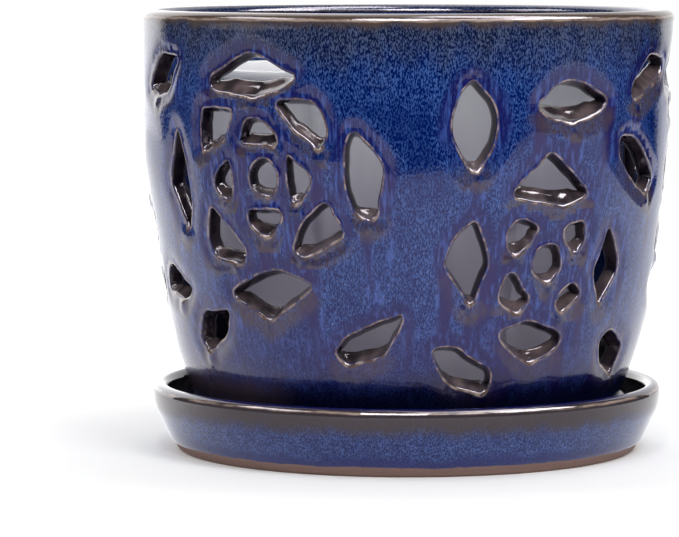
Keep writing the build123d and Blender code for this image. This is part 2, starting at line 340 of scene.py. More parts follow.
def relief(flat, distance, side):
    """How far the glazed face stands out of the smooth wall."""
    dent = -DENT_DEPTH * np.clip(1 - distance / DENT_WIDTH, 0, 1) ** 2
    x, z = flat.T
    turn = x / FLAT_RADIUS
    wobble = 0.05 * np.sin(3 * turn + z / 17) + 0.04 * np.sin(7 * turn - z / 11 + 1)
    wobble += 0.02 * np.sin(23 * turn + z / 5) * np.sin(z / 7 - 9 * turn)  # the potter's hand
    for azimuth, height in flowers:
        across = across_from(flat, on_flat(azimuth, height)[0])
        dent -= FLOWER_DENT * np.exp(-(across ** 2 + (z - height) ** 2) / FLOWER_WIDTH ** 2)
    pool = POOL_HEIGHT * np.clip(-side, 0, 1) ** 2 * np.exp(-((distance - POOL_DROP) / POOL_WIDTH) ** 2)
    return dent + wobble + np.maximum(pool, BEAD_HEIGHT * bead_shape(flat))


def outer_radius(flat, distance, side):
    """The wall's radius with its relief, kept inside the square box of the solids."""
    turn = SEAM + flat[:, 0] / FLAT_RADIUS
    wall = wall_radius(flat[:, 1])
    limit = WIDEST / np.maximum(np.abs(np.sin(turn)), np.abs(np.cos(turn)))
    limit = np.minimum(limit, (wall + CALM) / np.maximum(np.abs(np.sin(turn)), 0.01))
    return np.minimum(wall + relief(flat, distance, side), limit)


print("beads:", len(beads), "sizes from", round(beads[:, 2].min(), 2), "to", round(beads[:, 2].max(), 2))

# %% Streams of glaze
RUN_SEED = 7
RUN_LEAN = 0.08
RUN_LENGTHS = (16, 40)
RUN_WIDTH = 2.4
RUN_SPREAD = 0.05
RUN_START, RUN_BEND, RUN_GROWTH = 1, 9, 3
RUN_STRENGTHS = (0.35, 0.7, 1.0)


def glaze_runs(flat):
    """Where glaze has run down from the corners of the slots, from 0 to 1."""
    run = np.zeros(len(flat))
    chance = random.Random(RUN_SEED)
    for outline in outlines:
        brim = outline["brim"]
        for corner in (np.argmin(brim[:, 0]), np.argmax(brim[:, 0]), np.argmin(brim[:, 1])):
            x, z = brim[corner]
            lean = chance.uniform(-RUN_LEAN, RUN_LEAN)
            length = chance.uniform(*RUN_LENGTHS)
            drop = z + RUN_START - flat[:, 1]
            centre = x + lean * drop + np.sin(drop / RUN_BEND + x)
            across = across_from(flat, centre) / (RUN_WIDTH + RUN_SPREAD * drop)
            strength = chance.choice(RUN_STRENGTHS) * np.exp(-across ** 2)
            strength *= np.exp(-np.clip(drop, 0, None) / length)
            run = np.maximum(run, strength * np.clip(drop / RUN_GROWTH, 0, 1))
    return run


print("corners that glaze runs from:", 3 * len(outlines))

# %% [markdown]
# ## The wall as a net of triangles
# Boolean cuts leave long thin triangles that spoil a gloss. Instead we lay the wall flat, scatter
# points evenly over it, leave out those that fall in a slot, and let a Delaunay triangulation join
# the rest with the slots' outlines. Bent round the axis again, that gives an even, clean net.

# %% Triangulate a wall with holes
COLUMNS = 300
OUTER_SPACING = 1.55
INNER_SPACING = 3.2
ROW_SHARE = 0.866
TOO_NEAR = 0.55
SEAM_GAP = 0.4
FOOT_EDGE = 1.2


def inside(loop, points):
    """Which of the points lie inside the closed loop."""
    x, y = points.T
    result = np.zeros(len(points), bool)
    for (ax, ay), (bx, by) in zip(loop, np.roll(loop, -1, axis=0)):
        crosses = (ay > y) != (by > y)
        with np.errstate(divide="ignore", invalid="ignore"):
            result ^= crosses & (x < (bx - ax) * (y - ay) / (by - ay) + ax)
    return result


def within(holes, places):
    """Which of the places lie inside any of the holes."""
    result = np.zeros(len(places), bool)
    for hole in holes:
        box = np.all((places > hole.min(axis=0)) & (places < hole.max(axis=0)), axis=1)
        picked = np.flatnonzero(box)
        result[picked[inside(hole, places[picked])]] = True
    return result


def flat_net(holes, low, high, spacing):
    """Points and triangles of the flat wall. First come the two brims, then the holes' outlines."""
    across = np.linspace(0, girth, COLUMNS + 1)
    points = [np.stack([across, np.full(COLUMNS + 1, height)], axis=1) for height in (low, high)]
    edges = [(first + k, first + k + 1) for first in (0, COLUMNS + 1) for k in range(COLUMNS)]
    count = 2 * (COLUMNS + 1)
    for hole in holes:
        edges += [(count + k, count + (k + 1) % len(hole)) for k in range(len(hole))]
        points.append(hole)
        count += len(hole)
    rows = max(2, round((high - low) / (spacing * ROW_SHARE)))
    tree = KDTree(count)
    for x, z in np.concatenate(points):
        tree.insert((x, z, 0), 0)
    tree.balance()
    side = np.linspace(low, high, rows + 1)[1:-1]
    points += [np.stack([np.full(rows - 1, x), side], axis=1) for x in (0.0, girth)]
    cells = round(girth / spacing) + 1
    grid = np.array([(x, z) for row, z in enumerate(side) for k in range(cells)
                     if (x := (k + 0.5 * (row % 2) + 0.5) * girth / cells) < girth - spacing * SEAM_GAP])
    free = np.array([tree.find((x, z, 0))[2] > spacing * TOO_NEAR for x, z in grid])
    points.append(grid[free & ~within(holes, grid)])
    points = np.concatenate(points)
    result = delaunay_2d_cdt([Vector(p) for p in points], edges, [], 0, 1e-5, True)
    verts = np.array([tuple(v) for v in result[0]])
    order = np.array([ids[0] for ids in result[3]])
    triangles = np.array([face[:] for face in result[2]])
    return points, order[triangles[~within(holes, verts[triangles].mean(axis=1))]]


low_edge = POT_BASE + FOOT_EDGE
high_edge = RIM_TOP - LIP_RISE
brims = [outline["brim"] for outline in outlines]
outer_points, outer_triangles = flat_net(brims, low_edge, high_edge, OUTER_SPACING)
print("outer net:", len(outer_points), "points,", len(outer_triangles), "triangles")

# %% [markdown]
# ## Bend the net round and give it thickness
# Each point of the flat net goes to its azimuth and height, at the wall's radius plus the relief.
# The cut faces of a slot run in square to the wall at the slot's middle, as a knife goes, with a
# rounded edge outside and a smaller one inside. A slot's low face rises inwards, because there the
# potter wiped the lip and the glaze pooled on it: that is the thick glossy lip that shows in a slot.
# The depth in a cut runs from 0 at the brim over EDGE_DEPTH behind the rounded edge to 1 inside.

# %% Collect vertices and bend them round
INNER_ROUND = 0.8
TAPER = 0.55
INSIDE_CORNER = 5.0
LIP_LIFTS = {"top kite": 3.6, "top lens": 3.4, "upper left leaf": 1.7, "right leaf": 2.0,
             "left kite": 1.5, "right kite": 1.5, "eye": 1.0}
USUAL_LIFT = 2.4
LIFT_POWER = 1.5
LIFT_LIMIT = 0.5
TOP_DROP = 0.7
DROP_LIMIT = 0.15
NO_SLOT = 20.0


class Shell:
    """Collects vertices, faces and the values that the glaze reads at each vertex."""

    def __init__(self):
        self.places, self.faces, self.count = [], [], 0
        self.values = {"slot_distance": [], "slot_side": [], "cut_depth": [], "glaze_run": [], "bead": []}

    def add(self, places, **values):
        """Adds vertices in millimetres and returns the number of the first."""
        first = self.count
        self.places.append(places)
        for title, kept in self.values.items():
            start = NO_SLOT if title == "slot_distance" else 0.0
            kept.append(np.broadcast_to(values.get(title, start), len(places)).astype(float))
        self.count += len(places)
        return first

    def bands(self, rings, quads, points):
        """Quads between each ring of so many points and the next."""
        for lower, upper in zip(rings, rings[1:]):
            for k in range(quads):
                n = (k + 1) % points
                self.faces.append((lower + k, lower + n, upper + n, upper + k))


def around(azimuth, radius, height):
    """Places round the axis, in millimetres. Azimuth is counted from the front towards +X."""
    return np.stack([radius * np.sin(azimuth), -radius * np.cos(azimuth),
                     np.broadcast_to(height, np.shape(azimuth))], axis=-1)


def bent(flat, radius):
    return around(SEAM + flat[:, 0] / FLAT_RADIUS, radius, flat[:, 1])


shell = Shell()
brim_count = 2 * (COLUMNS + 1)
distance, side = slot_distance(outer_points)
radius = outer_radius(outer_points, distance, side)
radius[:brim_count] = wall_radius(outer_points[:brim_count, 1])
outer_first = shell.add(bent(outer_points, radius), slot_distance=distance, slot_side=side,
                        glaze_run=glaze_runs(outer_points), bead=bead_shape(outer_points))
shell.faces += [tuple(int(v) for v in face) for face in outer_triangles]
print("vertices of the outer face:", shell.count)

# %% Cut faces
ROUND_STEPS = 5
RELIEF_FADE = 0.6
EDGE_DEPTH = 0.5
CUT_STEPS = ((0.5, -TAPER * 0.6), (0.82, -TAPER), (0.93, INNER_ROUND * 0.3 - TAPER),
             (1.0, INNER_ROUND - TAPER))


def opposite(loop, side):
    """The height of the slot's other edge straight above or below each point of its outline."""
    result = np.zeros(len(loop))
    for here, there in ((side < 0, side >= 0), (side >= 0, side < 0)):
        other = loop[there][np.argsort(loop[there][:, 0])]
        result[here] = np.interp(loop[here][:, 0], *other.T)
    return result


def lip_lift(outline):
    """How far a cut face moves up on its way in: its low side rises, its top side drops."""
    loop, side = outline["loop"], outline["normal"][:, 1]
    room = np.abs(opposite(loop, side) - loop[:, 1])
    most = LIP_LIFTS.get(outline["name"], USUAL_LIFT)
    lift = np.minimum(most * np.clip(-side, 0, 1) ** LIFT_POWER, LIFT_LIMIT * room)
    return lift - np.minimum(TOP_DROP * np.clip(side, 0, 1), DROP_LIMIT * room)


def wall_face(spot, inset=0.0):
    """How far in front of the axis the wall's face lies, on a straight look at the slot's middle."""
    return np.sqrt((wall_radius(spot[:, 1]) - inset) ** 2 - spot[:, 0] ** 2)


def cut_faces(outline, first):
    """Rings of vertices from a slot's brim inwards, and the slot's outline on the inner wall."""
    loop, normal, edge = outline["loop"], outline["normal"], outline["round"]
    sine, cosine = math.sin(outline["middle"]), math.cos(outline["middle"])
    relief_here = outer_radius(outline["brim"], np.zeros(len(loop)), normal[:, 1])
    relief_here -= wall_radius(outline["brim"][:, 1])
    lift = lip_lift(outline)
    rings = [first]

    def ring(spot, deep, depth):
        places = [spot[:, 0] * cosine + deep * sine, spot[:, 0] * sine - deep * cosine, spot[:, 1]]
        rings.append(shell.add(np.stack(places, axis=1), slot_distance=0.0, slot_side=normal[:, 1],
                               cut_depth=depth))

    for k in range(1, ROUND_STEPS + 1):
        turn, part = math.radians(90) * k / ROUND_STEPS, k / ROUND_STEPS
        spot = loop + (1 - math.sin(turn)) * edge * normal
        deep = wall_face(spot) + relief_here * (1 - RELIEF_FADE * part) - (1 - math.cos(turn)) * edge[:, 0]
        ring(spot, deep, EDGE_DEPTH * part)
    start = wall_face(loop) - edge[:, 0] + (1 - RELIEF_FADE) * relief_here
    for share, spread in CUT_STEPS:
        spot = loop + spread * normal
        spot[:, 1] += lift * share
        if share < 1:
            deep = start + (wall_face(spot, WALL) - start) * share
            ring(spot, deep, EDGE_DEPTH + (1 - EDGE_DEPTH) * share)
    azimuth = outline["middle"] + np.arcsin(spot[:, 0] / (wall_radius(spot[:, 1]) - WALL))
    return rings, on_flat(azimuth, spot[:, 1])


inner_holes = []
slot_rings = []
hole_start = brim_count
for outline in outlines:
    rings, hole = cut_faces(outline, hole_start)
    hole_start += len(outline["loop"])
    slot_rings.append(rings)
    inner_holes.append(hole)
print("vertices with the cut faces:", shell.count)

# %% The inner face
inner_low = FLOOR_TOP + INSIDE_CORNER
inner_points, inner_triangles = flat_net(inner_holes, inner_low, high_edge, INNER_SPACING)
inner_first = shell.add(bent(inner_points, wall_radius(inner_points[:, 1]) - WALL), cut_depth=1.0)
shell.faces += [tuple(int(v) + inner_first for v in face[::-1]) for face in inner_triangles]
hole_start = inner_first + brim_count
for rings, hole in zip(slot_rings, inner_holes):
    rings.append(hole_start)
    hole_start += len(hole)
    shell.bands(rings, len(hole), len(hole))
print("vertices so far:", shell.count)

# %% [markdown]
# ## Lip, floor and foot
# The rest of the pot is turned: a section walks over the lip, and another from the wall's foot
# underneath to the drain hole and back over the floor. Their rings have as many points as the brims
# of the two nets, so that everything joins without a gap.

# %% The turned parts
DRAIN = 10.0
FOOT_RADIUS = 57.0
FOOT_WIDTH = 8.0
FOOT_HEIGHT = 3.0
LIP_STEPS = 12
CORNER_PARTS = 6
FLOOR_RADII = (44, 34, 24, 14)


def arc(middle, size, start, end, steps):
    """Points of a section on a quarter or half oval, without its first point."""
    turns = [math.radians(start + (end - start) * k / steps) for k in range(1, steps + 1)]
    return [(middle[0] + size[0] * math.cos(t), middle[1] + size[1] * math.sin(t)) for t in turns]


def turn_section(section, first, last):
    """Rings of vertices along a section, joined to the brims that it starts and ends at."""
    azimuths = SEAM + np.arange(COLUMNS + 1) * math.tau / COLUMNS
    rings = [first]
    for radius, height in section:
        rings.append(shell.add(around(azimuths, np.full(COLUMNS + 1, radius), height)))
    shell.bands(rings + [last], COLUMNS, COLUMNS + 1)


rim_radius = float(wall_radius(high_edge))
lip = arc((rim_radius - WALL / 2, high_edge), (WALL / 2, LIP_RISE), 0, 180, LIP_STEPS)[:-1]
turn_section(lip, outer_first + COLUMNS + 1, inner_first + COLUMNS + 1)
inner_radius = float(wall_radius(inner_low)) - WALL
corner = arc((inner_radius - INSIDE_CORNER, inner_low), (INSIDE_CORNER, INSIDE_CORNER), 0, -90, CORNER_PARTS)
underside = POT_BASE + FOOT_HEIGHT
inner_foot = FOOT_RADIUS - FOOT_WIDTH
floor_section = corner + [(r, FLOOR_TOP) for r in FLOOR_RADII] + [
    (DRAIN + 0.8, FLOOR_TOP), (DRAIN, FLOOR_TOP - 0.8), (DRAIN, underside + 0.5), (DRAIN + 0.5, underside),
    (30, underside), (inner_foot - 1, underside), (inner_foot, underside - 1), (inner_foot, POT_BASE + 0.6),
    (inner_foot + 0.6, POT_BASE), (56.2, POT_BASE), (FOOT_RADIUS, POT_BASE + 0.4),
]
turn_section(floor_section[::-1], outer_first, inner_first)
print("vertices of the whole pot:", shell.count)

# %% [markdown]
# ## One closed mesh
# The nets and the turned parts share their points at the seams, so merging what lies together
# closes the shell. The glaze later reads five values at each vertex: how far it is from a slot,
# whether it lies above or below that slot, how deep it lies in a cut, whether glaze ran over it, and
# whether it lies on a bead.

# %% Make the pot's mesh
MERGE = 0.02


def placed(name, data):
    """A new object in the scene."""
    made = bpy.data.objects.new(name, data)
    bpy.context.scene.collection.objects.link(made)
    return made


def finished(name, mesh, merge=0.0):
    """An object from a mesh, with outward normals and smooth faces, and with near points merged."""
    work = bmesh.new()
    work.from_mesh(mesh)
    if merge:
        bmesh.ops.remove_doubles(work, verts=work.verts, dist=merge)
    bmesh.ops.recalc_face_normals(work, faces=work.faces)
    open_edges = sum(not edge.is_manifold for edge in work.edges)
    work.to_mesh(mesh)
    work.free()
    mesh.shade_smooth()
    triangles = sum(len(face.vertices) - 2 for face in mesh.polygons)
    print(name, "triangles:", triangles, "open edges:", open_edges)
    return placed(name, mesh)


mesh = bpy.data.meshes.new("pierced_pot")
mesh.from_pydata((np.concatenate(shell.places) * MM).tolist(), [], shell.faces)
for title, values in shell.values.items():
    mesh.attributes.new(title, "FLOAT", "POINT").data.foreach_set("value", np.concatenate(values))
pot = finished("pierced_pot", mesh, MERGE * MM)

# %% [markdown]
# ## Node trees
# Turned pieces, glazes and the studio's light are all made by trees of nodes. A few helpers build
# them: the tree that is being built lies on the bench, each helper adds a node to it and returns the
# node's output, and outputs are passed on to the next helper like numbers.

# %% Helpers that add nodes
bench = []


def feed(made, inputs):
    """Links outputs to a node's inputs, or sets their values, and returns the node."""
    for key, source in inputs.items():
        if isinstance(source, bpy.types.NodeSocket):
            made.id_data.links.new(source, made.inputs[key])
        else:
            made.inputs[key].default_value = source
    return made


def node(kind, *links, **settings):
    """Adds a node, sets its properties and feeds its inputs in order; None leaves one as it is."""
    made = bench[-1].nodes.new(kind)
    for key, value in settings.items():
        setattr(made, key, value)
    return feed(made, {k: link for k, link in enumerate(links) if link is not None}).outputs[0]


def math_node(operation, first, *others):
    """Arithmetic on one value, or on several from left to right."""
    if not others:
        return node("ShaderNodeMath", first, operation=operation)
    for other in others:
        first = node("ShaderNodeMath", first, other, operation=operation)
    return first


times, plus, minus, larger, divided = (
    partial(math_node, kind) for kind in ("MULTIPLY", "ADD", "SUBTRACT", "MAXIMUM", "DIVIDE"))


def mapped(value, low, high, at_low=0.0, at_high=1.0):
    """Goes evenly from one result to the other while the value goes from low to high."""
    return node("ShaderNodeMapRange", value, low, high, at_low, at_high)


def axes_of(vector):
    return node("ShaderNodeSeparateXYZ", vector).node.outputs


# %% [markdown]
# ## Turned pieces with Geometry Nodes
# Saucer and growing pot follow one rule: a section turned round the axis. A small node tree does
# that for any section. It makes a grid, lets each point of the grid look up its place on the section,
# bends the grid into a ring and closes it. Changing the section changes the whole piece.

# %% A node tree that turns a section
WAVES = 3.0
RIBS = 6.0
RIB_EDGE = (0.98, 0.993)
CLOSE = 0.00002


def new_tree(name, inputs):
    """Puts an empty geometry tree with named inputs on the bench and returns those inputs."""
    tree = bpy.data.node_groups.new(name, "GeometryNodeTree")
    tree.interface.new_socket("Geometry", in_out="INPUT", socket_type="NodeSocketGeometry")
    for title, value in inputs.items():
        kind = "NodeSocketInt" if isinstance(value, int) else "NodeSocketFloat"
        tree.interface.new_socket(title, in_out="INPUT", socket_type=kind).default_value = value
    tree.interface.new_socket("Geometry", in_out="OUTPUT", socket_type="NodeSocketGeometry")
    bench.append(tree)
    return tree.nodes.new("NodeGroupInput").outputs


def coated(result, material):
    """Ends the tree on the bench by making its result real and giving it a material."""
    coat = node("GeometryNodeSetMaterial", node("GeometryNodeRealizeInstances", result))
    feed(coat.node, {"Material": material})
    feed(bench[-1].nodes.new("NodeGroupOutput"), {0: coat})
    return bench[-1]


def turning_tree(material):
    """A tree that turns a section, with a slow wobble and with ribs."""
    start = new_tree("turn_a_section", {"Columns": 180, "Wobble": 0.0001, "First Rib": 0.0})
    section, columns = start["Geometry"], start["Columns"]
    count = node("GeometryNodeAttributeDomainSize", section)
    grid = node("GeometryNodeMeshGrid", 1.0, 1.0, plus(columns, 1.0), count)
    index = node("GeometryNodeInputIndex")
    column = math_node("FLOOR", divided(plus(index, 0.5), count))
    sampled = feed(node("GeometryNodeSampleIndex", data_type="FLOAT_VECTOR").node, {
        "Geometry": section, "Value": node("GeometryNodeInputPosition"),
        "Index": minus(index, times(column, count))})
    axes = axes_of(sampled.outputs[0])
    turn = times(divided(column, columns), math.tau)
    sway = times(math_node("SINE", times(turn, WAVES)), start["Wobble"], axes["X"])
    sixfold = times(minus(turn, start["First Rib"]), RIBS)
    rib = times(mapped(math_node("COSINE", sixfold), *RIB_EDGE), axes["Y"])
    radius = plus(minus(axes["X"], sway), rib)
    spot = node("ShaderNodeCombineXYZ", times(radius, math_node("SINE", turn)),
                times(radius, times(math_node("COSINE", turn), -1.0)), axes["Z"])
    merged = feed(node("GeometryNodeMergeByDistance").node, {
        "Geometry": node("GeometryNodeSetPosition", grid, None, spot), "Distance": CLOSE})
    return coated(merged.outputs[0], material)


def grown(name, base, tree, values):
    """Runs a tree on a mesh, with the given input values, and returns the plain result."""
    holder = placed(name + "_start", base)
    modifier = holder.modifiers.new("nodes", "NODES")
    modifier.node_group = tree
    named = {item.name: item.identifier for item in tree.interface.items_tree}
    for title, value in values.items():
        modifier[named[title]] = value
    graph = bpy.context.evaluated_depsgraph_get()
    mesh = bpy.data.meshes.new_from_object(holder.evaluated_get(graph))
    bpy.data.objects.remove(holder)
    return finished(name, mesh)


def section_mesh(name, section):
    """A section made a line of vertices. Each has radius, height and, if any, how far a rib stands out."""
    mesh = bpy.data.meshes.new(name)
    places = [(radius * MM, sum(rib) * MM, height * MM) for radius, height, *rib in section]
    mesh.from_pydata(places, [(k, k + 1) for k in range(len(places) - 1)], [])
    return mesh


# %% [markdown]
# ## The saucer's section
# A low bowl: its outside follows the measured radii, its lip is rounded, its floor is flat, and a
# shallow ring of bare clay underneath carries it. The glaze stops a little above the ground in a
# thick roll, because a potter wipes the foot clean before firing.

# %% Draw the saucer's section
SAUCER_TOP = 20.0
SAUCER_RIM = 75.5
SAUCER_WALL = 4.8
SAUCER_FLOOR = 5.5
SAUCER_LIP = 2.3
SAUCER_CORNER = 3
SAUCER_FOOT = ((0, 1.2), (57, 1.2), (58, 0.3), (58.4, 0), (67.4, 0), (67.9, 0.3), (68.4, 1.0), (68.6, 1.5))
GLAZE_END = 1.9
saucer_side = smooth_curve((
    (GLAZE_END, 68.8), (3.2, 70.2), (5.5, 71.4), (8.3, 72.7), (10.7, 73.8), (12.8, 74.8), (15.2, 75.3),
    (17.7, 75.5), (20.0, 75.5),
))
lip_height = SAUCER_TOP - SAUCER_LIP
corner_height = SAUCER_FLOOR + SAUCER_CORNER
inner_wall = float(saucer_side(corner_height)) - SAUCER_WALL
saucer_section = [
    *SAUCER_FOOT,
    *((float(saucer_side(z)), float(z)) for z in np.linspace(GLAZE_END, lip_height, 16)),
    *arc((SAUCER_RIM - SAUCER_WALL / 2, lip_height), (SAUCER_WALL / 2, SAUCER_LIP), 0, 180, 14),
    *((float(saucer_side(z)) - SAUCER_WALL, z) for z in (16, 14, 12, 10, 9)),
    *arc((inner_wall - SAUCER_CORNER, corner_height), (SAUCER_CORNER, SAUCER_CORNER), 0, -90, 5),
    (0, SAUCER_FLOOR),
]
print("points on the saucer's section:", len(saucer_section))

# %% [markdown]
# ## The growing pot
# Nurseries grow orchids in thin plastic pots with ribs and drain holes. It shows only as a pale
# surface behind the slots and from above. Its cup is turned by the same tree, with a third number in
# the section that says how far the ribs stand out. A second tree cuts holes out of the floor: six
# round the axis, and then, with a count of one, the hole in the middle.

# %% Section and drain holes of the growing pot
CUP_TOP = 113.5
CUP_RIM = 65.0
CUP_NECK = 62.6
CUP_WALL = 1.2
RIB_START = math.radians(-27)
RIB_HEIGHT = 0.5
LONGEST = 12
SIDE_HOLE = (4, -36.5)
MIDDLE_HOLE = (7, 0)
DRILL_SIDES = 32
DRILL_ENDS = (13, 17)


def drawn(section):
    """The section with enough points that no step is longer than LONGEST."""
    result = [section[0]]
    for start, end in zip(section, section[1:]):
        parts = max(1, math.ceil(math.dist(start, end) / LONGEST))
        for k in range(1, parts + 1):
            share = k / parts
            result.append(tuple(a + (b - a) * share for a, b in zip(start, end)))
    return result


neck = CUP_TOP - 3.2
cup_section = drawn([
    (0, FLOOR_TOP, 0), (44.5, FLOOR_TOP, 0), (46.3, 15.3, 0), (47.0, 17.0, 0), (47.2, 18.0, RIB_HEIGHT),
    (CUP_NECK, neck, RIB_HEIGHT), (CUP_NECK + 0.3, neck + 0.2, 0),
    (CUP_RIM - 0.3, neck + 0.2, 0), (CUP_RIM, neck + 0.5, 0), (CUP_RIM, CUP_TOP - 0.6, 0),
    (CUP_RIM - 0.2, CUP_TOP - 0.2, 0), (CUP_RIM - 0.7, CUP_TOP, 0), (CUP_NECK - 0.9, CUP_TOP, 0),
    (CUP_NECK - CUP_WALL, neck + 1, 0), (45.8, 17.2, 0), (45.3, 16.0, 0), (44.5, 15.7, 0), (0, 15.7, 0),
])


def drill(radius, middle):
    """A closed cylinder through the growing pot's floor, with its middle at this place along Y."""
    turns = [math.tau * k / DRILL_SIDES for k in range(DRILL_SIDES)]
    places = [(MM * (radius * math.cos(t)), MM * (middle + radius * math.sin(t)), MM * height)
              for height in DRILL_ENDS for t in turns]
    count = DRILL_SIDES
    faces = [tuple(range(count))[::-1], tuple(range(count, 2 * count))]
    faces += [(k, (k + 1) % count, count + (k + 1) % count, count + k) for k in range(count)]
    mesh = bpy.data.meshes.new("block")
    mesh.from_pydata(places, [], faces)
    return mesh


def cutting_tree(name, material, other):
    """A tree that repeats a piece round the axis and cuts the copies out of another object."""
    start = new_tree(name, {"Count": 6, "First Azimuth": 0.0})
    line = feed(node("GeometryNodeMeshLine").node, {"Count": start["Count"], "Offset": (0, 0, 0)})
    turn = divided(times(node("GeometryNodeInputIndex"), math.tau), start["Count"])
    spin = node("ShaderNodeCombineXYZ", 0.0, 0.0, plus(turn, start["First Azimuth"]))
    copies = feed(node("GeometryNodeInstanceOnPoints").node, {
        "Points": line.outputs[0], "Instance": start["Geometry"], "Rotation": spin})
    source = feed(node("GeometryNodeObjectInfo").node, {"Object": other})
    cut = feed(node("GeometryNodeMeshBoolean", operation="DIFFERENCE").node, {
        "Mesh 1": source.outputs["Geometry"],
        "Mesh 2": node("GeometryNodeRealizeInstances", copies.outputs[0])})
    return coated(cut.outputs["Mesh"], material)


print("points on the growing pot's section:", len(cup_section))

# %% [markdown]
# ## The glaze
# A cobalt glaze over stoneware is blue glass with paler crystals floating in it. Where it lies thick
# it is deep blue, where it breaks over an edge it thins to brown, and where it ran it drew the
# crystals into smooth violet streams. The upright cut faces are painted nearly black as shade, and the
# low ones a lighter mauve brown as a painted reflection. The colour is mixed from those layers: each
# layer has a colour and a mask, and the masks come from noise, from height, and from the values on the mesh.

# %% Helpers for a material
def new_material(name):
    """A material, its shader, the place on the piece itself, and that place's axes."""
    material = bpy.data.materials.new(name)
    material.use_nodes = True
    bench.append(material.node_tree)
    place = node("ShaderNodeTexCoord").node.outputs["Object"]
    return material, material.node_tree.nodes["Principled BSDF"], place, axes_of(place)


def length_of(vector):
    return node("ShaderNodeVectorMath", vector, operation="LENGTH").node.outputs["Value"]


def reach_of(axes):
    """How far a place is from the pot's axis."""
    return length_of(node("ShaderNodeCombineXYZ", axes["X"], axes["Y"]))


def attribute(name):
    return node("ShaderNodeAttribute", attribute_name=name).node.outputs["Fac"]


def mixed(factor, below, above):
    """Colour above laid over colour below where the factor is 1."""
    made = node("ShaderNodeMix", factor, data_type="RGBA").node
    numbers = {socket.identifier: k for k, socket in enumerate(made.inputs)}
    for name, value in (("A_Color", below), ("B_Color", above)):
        feed(made, {numbers[name]: value if isinstance(value, bpy.types.NodeSocket) else (*value, 1)})
    return next(socket for socket in made.outputs if socket.identifier == "Result_Color")


def ramp(value, low, high):
    """0 below low, 1 above high and smooth between; low may be the larger of the two."""
    return node("ShaderNodeMapRange", value, low, high, interpolation_type="SMOOTHSTEP")


def band(value, start, full, fade, end):
    """1 while the value is between full and fade, and 0 before start and after end."""
    return times(ramp(value, start, full), ramp(value, end, fade))


def shifted(value, other, share):
    """The value with a share of another one added."""
    return plus(value, times(other, share))


def stretched(place, stretch):
    return node("ShaderNodeMapping", place, None, None, stretch)


def noise(place, scale, stretch=(1, 1, 1), detail=3.0, roughness=0.55):
    """Noise on the object's own coordinates, stretched along its axes."""
    made = node("ShaderNodeTexNoise", stretched(place, stretch)).node
    return feed(made, {"Scale": scale, "Detail": detail, "Roughness": roughness}).outputs[0]


# %% Colours
DEEP, GREY_DEEP = (0.0003, 0.0085, 0.098), (0.004, 0.009, 0.042)
FLECK, BRIGHT_FLECK, GREY_FLECK = (0.066, 0.16, 0.47), (0.13, 0.22, 0.52), (0.12, 0.15, 0.25)
STREAM, THREAD = (0.018, 0.010, 0.095), (0.06, 0.12, 0.42)
THIN, TAN, BREAK = (0.085, 0.06, 0.048), (0.12, 0.078, 0.055), (0.36, 0.27, 0.23)
# Cut faces: painted shade, near black, on the upright ones, and a painted reflection, a lighter mauve brown,
# on the low ones
CUT_SHADE_BLACK, CUT_SHADE_DARK = (0.004, 0.003, 0.008), (0.03, 0.022, 0.028)
CUT_SHEEN_BROWN, CUT_SHEEN_MAUVE = (0.03, 0.023, 0.028), (0.15, 0.108, 0.112)
# Painted shade for the pot's foot just above the saucer: near black, and browner towards the left
FOOT_SHADE_DARK, FOOT_SHADE_BROWN = (0.001, 0.0012, 0.01), (0.055, 0.036, 0.036)
BEAD_BLUE, FOOT_BLUE, LIP_BLUE = (0.0015, 0.004, 0.05), (0.004, 0.011, 0.12), (0.004, 0.006, 0.075)
SAUCER_THIN, CLAY = (0.045, 0.033, 0.028), (0.25, 0.155, 0.13)
# The growing pot's plastic as a lit copy and a darker painted-shade copy
PLASTIC_SHADED, PLASTIC_LIT = (0.50, 0.48, 0.54), (0.94, 0.93, 0.99)
GLOSS_TINT = (1.0, 0.92, 1.0, 1)

# %% Crystals in glass
FINE_SCALE, CLOUD_SCALE, CELL_SCALE = 2900, 260, 1050
DRAWN_OUT, CELL_STRETCH = (1, 1, 0.4), (1, 1, 0.55)
CLOUD_SHARE = 0.16
MANY_RANGE, CELL_RANGE, CLOUD_RANGE = (0.5, 0.72), (0.3, 0.1), (0.4, 0.6)
MANY_MIX, FEW_MIX = 0.62, 0.5


def crystals_in(place):
    """Two masks from 0 to 1: the fine drawn out crystals, and the few bright ones among them."""
    cloud = noise(place, CLOUD_SCALE, DRAWN_OUT, 2.0)
    many = ramp(shifted(noise(place, FINE_SCALE, DRAWN_OUT, 1.0, 0.5), cloud, CLOUD_SHARE), *MANY_RANGE)
    cells = feed(node("ShaderNodeTexVoronoi", stretched(place, CELL_STRETCH)).node, {"Scale": CELL_SCALE})
    return many, times(ramp(cells.outputs["Distance"], *CELL_RANGE), ramp(cloud, *CLOUD_RANGE))


def cobalt(place, smooth, grey):
    """Deep blue glass with crystals in it, fewer where the glaze is smooth, greyer where it is thin."""
    many, few = crystals_in(place)
    clear = minus(1.0, smooth)
    colour = mixed(times(many, times(clear, MANY_MIX)), mixed(grey, DEEP, GREY_DEEP),
                   mixed(grey, FLECK, GREY_FLECK))
    bright = mixed(grey, BRIGHT_FLECK, GREY_FLECK)
    return mixed(times(few, times(clear, FEW_MIX)), colour, bright), many


